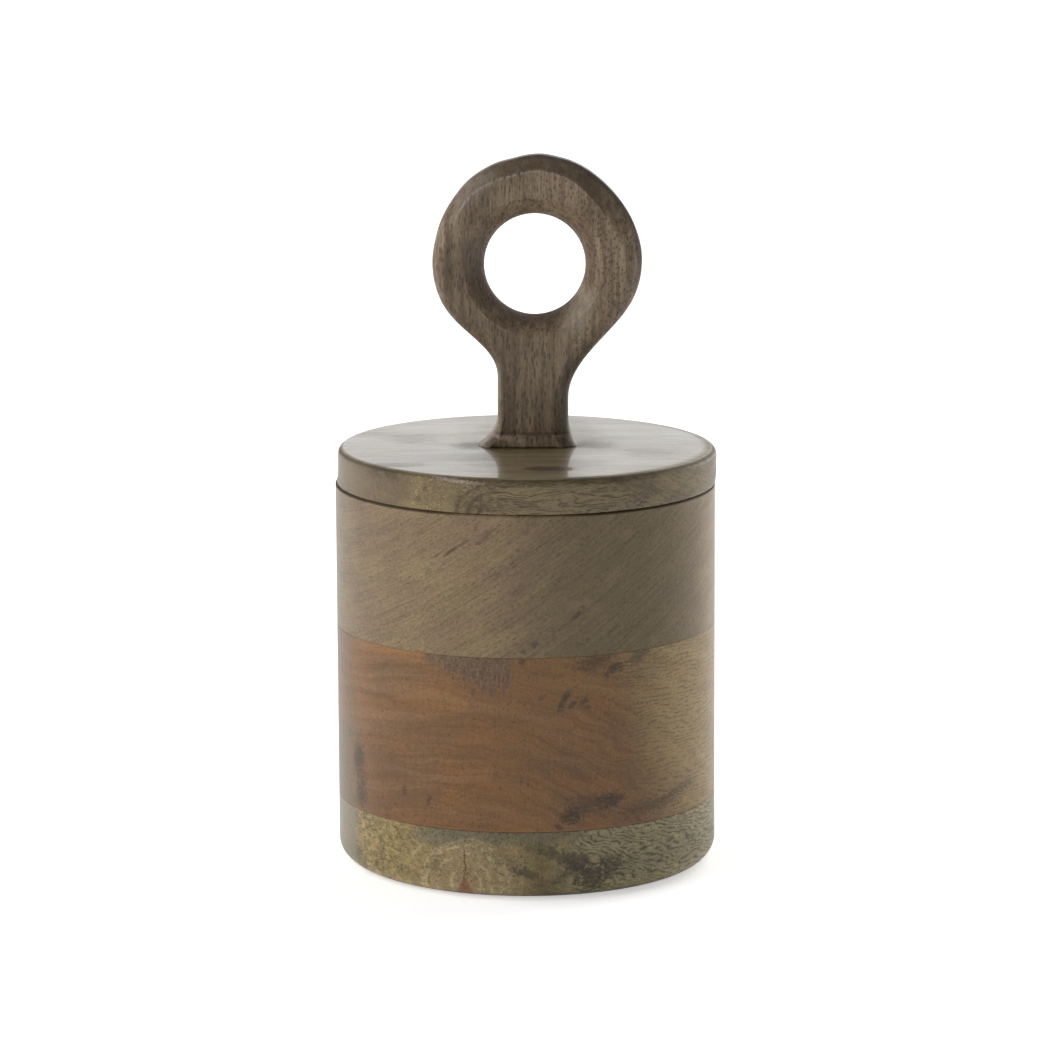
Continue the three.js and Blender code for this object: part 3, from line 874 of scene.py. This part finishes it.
screw_profile = filled(
    (0, screw_bottom),
    (screw_head_radius, screw_bottom),
    (screw_head_radius, sink_rim),
    (screw_shank, cone_top),
    (screw_shank, screw_top - point_length),
    (0, screw_top),
    row_gap=0.2,
    hold=0.05,
)
screw_steel = plain_finish("bright_steel", tone(196, 196, 192), 0.3, 1.0)
screw_grid = turned(screw_profile, cut_screw, 96)
piece("handle_screw", [skin("screw", screw_grid)], screw_steel, "lid")


# Ring handle: ring, neck, stem and flared foot, carved from one board with its grain upright, edges rounded
# by hand. A tenon below the foot goes into the lid's mortise and a screw from below holds it.
ring_centre_x = 3.48
ring_centre_height = 60.2
ring_radius = 31.97
ring_oval = 0.91
ring_lobes = 0.72
ring_lobe_turn = math.radians(17.5)
carver_flats = (
    (104, 7, -0.36),
    (87, 6, 0.25),
    (66, 16, 0.36),
    (132, 9, 0.25),
    (3, 7, 0.12),
    (171, 7, -0.15),
)
ring_samples = 400
neck_samples = 60
neck_angle = math.radians(25)
neck_ring_reach = 11.4
stem_x = 2.43
stem_width = 22.36
neck_start_left = 21.9
neck_start_right = 15.2
neck_stem_reach_left = 10.3
neck_stem_reach_right = 12.3
ring_centre = np.array([ring_centre_x, ring_centre_height])
hole_x = ring_centre_x - 0.49
hole_height = ring_centre_height - 2.61
hole_radius = 15.9
half_thickness = 6.0
band_half = 2.0
ring_edge_width = 4.55
ring_edge_swells = ((30, 32, 1.7), (142, 22, -1.1))
stem_edge_left = 2.3
stem_edge_right = 4.4
stem_edge_below = 24
stem_edge_fade = 16
crisp_angle = 85
crisp_reach = 75
crisp_power = 1.2
even_power = 2
foot_height = 9.6
foot_spread_left = 6.0
foot_spread_right = 2.9
foot_spread_front = 1.6
foot_power = 2.4
bead_height = 4.4
bead_depth = 0.4
cut_width = 0.55
cut_depth = 0.35
wander_depth = 0.14
chip_depth = 0.25
chip_height = 2.5
funnel_start = math.radians(78)
funnel_power = 1.3
funnel_width = 6.6
funnel_swells = ((190, 40, 0.6),)
tenon_radius = 7.0
tenon_length = 6.7
tenon_ease = 0.6
side_columns = 380
foot_columns = 40
dense_below = 12
edge_count, face_count, funnel_count = 17, 44, 16
edge_line_rows = 2.2


def swollen(measure, degrees, swells):
    """A measure round the ring with swells on it. Each adds a bell curve about its angle: the amount times e
    to the power of minus the square of the step from that angle over the swell's width."""
    for middle, width, amount in swells:
        measure = measure + amount * np.exp(-(((degrees - middle) / width) ** 2))
    return measure


def ring_outline(angle):
    """Points on the ring: a circle with an oval and a three-sided departure and the carver's flats."""
    radius = ring_radius + ring_oval * np.cos(2 * angle) - ring_lobes * np.sin(3 * angle - ring_lobe_turn)
    radius = swollen(radius, np.degrees(angle), carver_flats)
    return ring_centre + radius[:, None] * np.stack([np.cos(angle), np.sin(angle)], -1)


def curve(first, first_reach, last, last_reach):
    """A cubic curve between two points, with its inner control points a reach away from each. The shares of
    the four are (1-t) cubed, 3(1-t) squared t, 3(1-t)t squared and t cubed."""
    t = np.linspace(0, 1, neck_samples)[:, None]
    shares = (1 - t) ** 3, 3 * (1 - t) ** 2 * t, 3 * (1 - t) * t ** 2, t ** 3
    points = first, first + first_reach, last + last_reach, last
    return sum(share * point for share, point in zip(shares, points))


def handle_outline():
    """Front view in order: up the stem's right side, round the ring and down the left side."""
    ring = ring_outline(np.linspace(-neck_angle, math.pi + neck_angle, ring_samples))
    leave_way = (ring[0] - ring[1]) / np.linalg.norm(ring[0] - ring[1]) * neck_ring_reach
    arrive_way = (ring[-1] - ring[-2]) / np.linalg.norm(ring[-1] - ring[-2]) * neck_ring_reach
    right, left = stem_x + stem_width / 2, stem_x - stem_width / 2
    up = np.array([0, 1])
    right_start, left_end = np.array([right, neck_start_right]), np.array([left, neck_start_left])
    right_neck = curve(right_start, up * neck_stem_reach_right, ring[0], leave_way)
    left_neck = curve(ring[-1], arrive_way, left_end, up * neck_stem_reach_left)
    return np.vstack([[(right, 0)], right_neck, ring[1:-1], left_neck, [(left, 0)]])


def spaced(line, count, density):
    """Points along a line, in even steps of arc length times a density that depends on the height."""
    middle = (line[1:] + line[:-1]) / 2
    run = np.concatenate([[0], np.cumsum(np.hypot(*np.diff(line, axis=0).T) * density(middle[:, 1]))])
    place = np.linspace(0, run[-1], count)
    return np.stack([np.interp(place, run, line[:, 0]), np.interp(place, run, line[:, 1])], -1)


def edge_width(points):
    """Width of the rounded outer edge in the face. Round the ring it is wide at the upper right and narrow
    at the upper left. Down the neck it turns into the stem's, by 3t squared less 2t cubed."""
    x, z = points.T
    degrees = np.degrees(np.arctan2(z - ring_centre_height, x - ring_centre_x))
    ring_width = swollen(ring_edge_width, degrees, ring_edge_swells)
    stem_share = np.clip((hole_height - stem_edge_below - z) / stem_edge_fade, 0, 1)
    stem_share = stem_share ** 2 * (3 - 2 * stem_share)
    stem_edge = np.where(x < stem_x, stem_edge_left, stem_edge_right)
    return ring_width + (stem_edge - ring_width) * stem_share


def edge_power(points):
    """How round the outer edge is: near 1 is a crisp cut, as round the ring's top, and 2 an even round. It
    changes evenly with the angle between."""
    angle = np.arctan2(points[:, 1] - ring_centre_height, points[:, 0] - ring_centre_x)
    away = np.abs(np.degrees(angle) - crisp_angle) / crisp_reach
    return crisp_power + (even_power - crisp_power) * np.clip(away - 0.8, 0, 1)


def foot_sweep(z):
    """Share of the foot's spread at a height: 1 less the height over the foot's, to a power that makes it
    quicken towards the lid."""
    return np.clip(1 - z / foot_height, 0, 1) ** foot_power


def foot_bead(z):
    """The cut line and the bead below it, as a distance outwards: a bell curve in, a half round out."""
    cut = np.exp(-(((z - bead_height) / cut_width) ** 2))
    level = np.clip(z / bead_height, 0, 1)
    half_round = np.sqrt(np.clip(1 - (2 * level - 1) ** 2, 0, 1)) * (z < bead_height)
    return bead_depth * half_round - cut_depth * cut


def carved(points):
    """Spreads the foot, cuts the line and the bead on its front and back, chips its edge and lets the faces
    wander a little, both as products of sines."""
    x, y, z = np.moveaxis(points, -1, 0)
    spread = foot_sweep(z)
    side = (x - stem_x) / (stem_width / 2)
    reach = np.where(side < 0, foot_spread_left, foot_spread_right)
    front_share = np.clip((1.0 - np.abs(side)) / 0.25, 0, 1) * np.clip((np.abs(y) - 2) / 3, 0, 1)
    broad, fine = np.sin(x / 7 + 1) * np.sin(z / 9 + 2), np.sin(x / 2.9) * np.sin(z / 3.7)
    wander = wander_depth * (broad + fine / 2)
    chips_and_glints = chip_depth * np.sin(x * 1.15) * np.sin(x * 0.41 + 1) * np.exp(-z / chip_height)
    outwards = foot_spread_front * spread + front_share * (foot_bead(z) + chips_and_glints) + wander
    x = x + side * reach * spread
    y = y * (1 + outwards / half_thickness)
    return np.stack([x, y, z + seat_height], -1)


def handle_grid():
    """Rows run from the outline's middle line over the rounded edge, the front face and the rounded inner
    edge to the hole's throat, and back over the rear. Columns run round the outline. Each rounded edge is a
    quarter of a rounded square: sine and cosine to the power 2 over its own power."""
    sides = spaced(handle_outline(), side_columns, lambda z: 1 + 1.6 * (z < dense_below))
    foot_share = np.linspace(-1, 1, foot_columns + 2)[1:-1]
    foot = np.stack([stem_x + foot_share * stem_width / 2, np.zeros(foot_columns)], -1)
    outer = np.vstack([sides, foot])
    on_foot = slice(len(sides), None)
    angle = np.unwrap(np.arctan2(outer[:, 1] - hole_height, outer[:, 0] - hole_x))
    inward = np.roll(outer, -1, 0) - np.roll(outer, 1, 0)
    inward = np.stack([-inward[:, 1], inward[:, 0]], -1) / np.hypot(*inward.T)[:, None]
    inward[0], inward[len(sides) - 1] = (-1, 0), (1, 0)
    width = edge_width(outer)
    edge_turn = np.linspace(0, np.pi / 2, edge_count)[:, None]
    power = edge_power(outer)
    level = np.ones(len(outer))
    flat = np.array([0, 1, band_half - 0.15])[:, None] * level
    band_y = np.vstack([flat, band_half + (half_thickness - band_half) * np.sin(edge_turn) ** (2 / power)])
    band_in = np.vstack([flat * 0, 1 - np.abs(np.cos(edge_turn)) ** (2 / power)])
    edge_rows = outer[None] + width[None, :, None] * inward[None] * band_in[..., None]
    right_width, left_width = width[0], width[len(sides) - 1]
    half_at = stem_width / 2 - np.where(foot[:, 0] > stem_x, right_width, left_width) * band_in[:, on_foot]
    edge_rows[:, on_foot, 0] = stem_x + foot_share * half_at
    edge_rows[:, on_foot, 1] = 0
    degrees = np.degrees(angle)
    round_width = swollen(funnel_width, degrees, funnel_swells)
    direction = np.stack([np.cos(angle), np.sin(angle)], -1)
    centre = np.array([hole_x, hole_height])
    mouth_share = 1 - math.cos(funnel_start) ** (2 / funnel_power)
    mouth = centre + (hole_radius + round_width * mouth_share)[:, None] * direction
    face_share = np.linspace(0, 1, face_count + 2)[1:-1, None, None]
    face_rows = edge_rows[-1][None] * (1 - face_share) + mouth[None] * face_share
    inner_turn = np.linspace(funnel_start, 0, funnel_count)
    inner_reach = hole_radius + round_width[None] * (1 - np.cos(inner_turn)[:, None] ** (2 / funnel_power))
    inner_rows = centre + inner_reach[..., None] * direction[None]
    inner_y = half_thickness * (np.sin(inner_turn) / np.sin(inner_turn[0])) ** (2 / funnel_power)
    rows = np.concatenate([edge_rows, face_rows, inner_rows])
    face_y = np.full((len(face_rows), len(outer)), half_thickness)
    depth = np.vstack([band_y, face_y, inner_y[:, None] * level])
    front = np.stack([rows[..., 0], -depth, rows[..., 1]], -1)
    back = front[-2:0:-1] * (1, -1, 1)
    on_band, on_funnel = len(edge_rows), len(inner_rows)
    # The edge line's share round the ring: its upper left, towards the lamp, where the painted highlight
    # goes.
    crisp = np.clip((degrees - 55) / 45, 0, 1) * np.clip((160 - degrees) / 12, 0, 1)
    from_edge_line = (np.arange(len(front)) - on_band + 1) / edge_line_rows
    edge_line = np.exp(-(from_edge_line ** 2))[:, None] * crisp
    band, outermost, funnel = np.zeros((3, len(front), len(outer)))
    band[:on_band] = 1
    outermost[:on_band] = 1 - band_in
    funnel[-on_funnel:] = np.linspace(0, 1, on_funnel)[:, None]
    upright = np.abs(inward[:, 1]) * band
    upright[-on_funnel:] = np.abs(direction[:, 1]) * funnel[-on_funnel:]
    marks = {"outer_band": band, "outermost": outermost, "edge_line": edge_line, "funnel": funnel}
    marks["end_grain"] = upright
    marks = {name: np.concatenate([rows, rows[-2:0:-1]])[::-1] for name, rows in marks.items()}
    return carved(np.concatenate([front, back]))[::-1], marks


tenon_profile = filled(
    (0, -tenon_length),
    arc((tenon_radius - tenon_ease, tenon_ease - tenon_length), tenon_ease, -90, 0),
    (tenon_radius, 0),
    (0, 0),
)
tenon_profile = tenon_profile + (0, seat_height)


def mark_of(place, name):
    """One of the marks that the mesh's points carry."""
    return place.node("ShaderNodeAttribute", {"attribute_name": name}, {}, "Fac")


handle_material, place = wood_start("oiled_handle_wood")
x, y, z = axes_of(place)
above_lid = z - seat_height
above_centre = above_lid - ring_centre_height
end_grain = step(mark_of(place, "end_grain"), 0.3, 0.95)
funnel = mark_of(place, "funnel")
outer_band = mark_of(place, "outer_band")
grain = step(noise(place, (1.1, 1.1, 16), roughness=0.65), 0.35, 0.65)
bands = noise(place, (2.4, 3, 45))
clouds = noise(place, (13, 13, 16), roughness=0.6)
speckle = step(noise(place, (0.6, 0.6, 1.5), roughness=0.75), 0.36, 0.64)
colour = blend(step(clouds, 0.35, 0.65), tone(138, 121, 98), tone(118, 100, 80))
colour = dyed(colour, step(bands, 0.4, 0.6) * 0.6, (100, 82, 65))
colour = shaded(colour, 1 + (grain - 0.5) * 0.42 + (speckle - 0.5) * 0.36)
dashes = pores(place, (0.78, 0.78, 3.2), 0.42)
dots = pores(place, (0.85, 0.85, 1.2), 0.44)
right_side = step(x + above_centre * 0.2, 4, 14)
vessels = dashes * (1 - right_side) + dots * right_side
colour = shaded(colour, 1 + right_side * 0.2)
colour = dyed(colour, vessels * 0.48, (56, 45, 36))
colour = dyed(colour, end_grain * 0.35, (78, 64, 52))
# Darker on the outer band over the ring's top.
darker_band_on_top = outer_band * step(above_lid, 66, 84)
colour = dyed(colour, darker_band_on_top * 0.45, (74, 60, 50))
# Painted shade on the outermost part of the ring's rounded edge, round its right side.
around_right = step(x + above_centre * 0.6, 8, 24) * step(above_lid, 44, 60)
painted_shade_right_edge = step(mark_of(place, "outermost"), 0.65, 0.95) * around_right
colour = dyed(colour, painted_shade_right_edge * 0.6, (46, 43, 37))
# Painted shade on the stem's rounded edges, a little more on the right.
stem_edge = outer_band * step(above_lid, 36, 24)
colour = shaded(colour, 1 - stem_edge * (0.25 + step(x, 4, 8) * 0.08))
# Painted shade on the foot's flared sides.
painted_shade_on_flare = step(abs(x - stem_x), 9.5, 12.5) * step(above_lid, 7, 1)
colour = dyed(colour, painted_shade_on_flare * 0.2, (58, 47, 38))
lit_funnel = spot(place, (17.2, -5, seat_height + 43), (0, 0.5, 0), (4.5, 8, 9), 0.3, 2.0)
colour = dyed(colour, lit_funnel * 0.4, (176, 164, 148))
# Painted highlight: a pale patch on the bead at the foot's front.
painted_highlight_on_bead = spot(place, (-6.5, -7, seat_height + 3.4), (0, 0.2, 0), (5, 5, 0.9), 0.9, 1.0)
colour = dyed(colour, painted_highlight_on_bead * 0.5, (160, 142, 126))
# Painted highlight on the ring's upper left shoulder.
painted_highlight_shoulder = spot(place, (-16, -5, seat_height + 81.5), (0, -0.8, 0), (9, 6, 4), 0.3, 2.0)
colour = dyed(colour, painted_highlight_shoulder * 0.2, (176, 162, 148))
# Pale along the crisp edge line: wear, and a painted highlight.
worn_edge_and_highlight = mark_of(place, "edge_line") * step(grain + speckle * 0.6, 0.2, 1.0)
colour = dyed(colour, worn_edge_and_highlight * 0.7, (172, 160, 150))
# Painted shade in the hole's inner round, low and on the left.
painted_shade_in_funnel = step(funnel, 0.0, 0.6) * step(x * 0.7 + above_lid, 68, 44)
colour = dyed(colour, painted_shade_in_funnel * 0.55, (66, 54, 45))
# Painted shade along the cut line above the bead.
from_foot_line = abs(above_lid - bead_height + (speckle - 0.5) * 0.5)
colour = dyed(colour, step(from_foot_line, 0.7, 0.1) * 0.5, (48, 37, 28))
handle_roughness = 0.38 + (speckle - 0.5) * 0.08
handle_normal = bumped(grain * 0.3 - vessels, 0.1)
wood_end(colour, handle_roughness, handle_normal)
handle_points, handle_marks = handle_grid()
handle_skin = skin("handle", handle_points, True, handle_marks)
tenon_skin = skin("tenon", turned(tenon_profile, count=64))
piece("ring_handle", [handle_skin, tenon_skin], handle_material, "lid")
